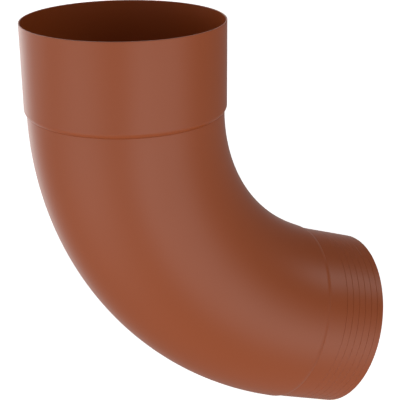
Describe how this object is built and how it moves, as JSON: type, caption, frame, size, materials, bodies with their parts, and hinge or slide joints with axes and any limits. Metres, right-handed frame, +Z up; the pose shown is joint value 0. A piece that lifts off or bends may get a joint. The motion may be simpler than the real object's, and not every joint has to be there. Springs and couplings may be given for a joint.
{
  "type": "downspout elbow",
  "caption": "Round downspout elbow: one bent tube of coated sheet, widened into a socket at its top end and drawn in to a grooved spigot at its outlet.",
  "frame": {"origin": "centre of the socket's mouth, on the socket's axis", "axes": "+Z up along the socket's axis, out of its mouth; the tube bends towards +X in the XZ plane, so the outlet points 72 degrees away from -Z, towards +X"},
  "size_m": [0.1904, 0.102, 0.2344],
  "materials": {
    "coat": "satin copper-brown coat on sheet steel"
  },
  "bodies": {
    "root": {"downspout_elbow": "coat"}
  },
  "joints": []
}
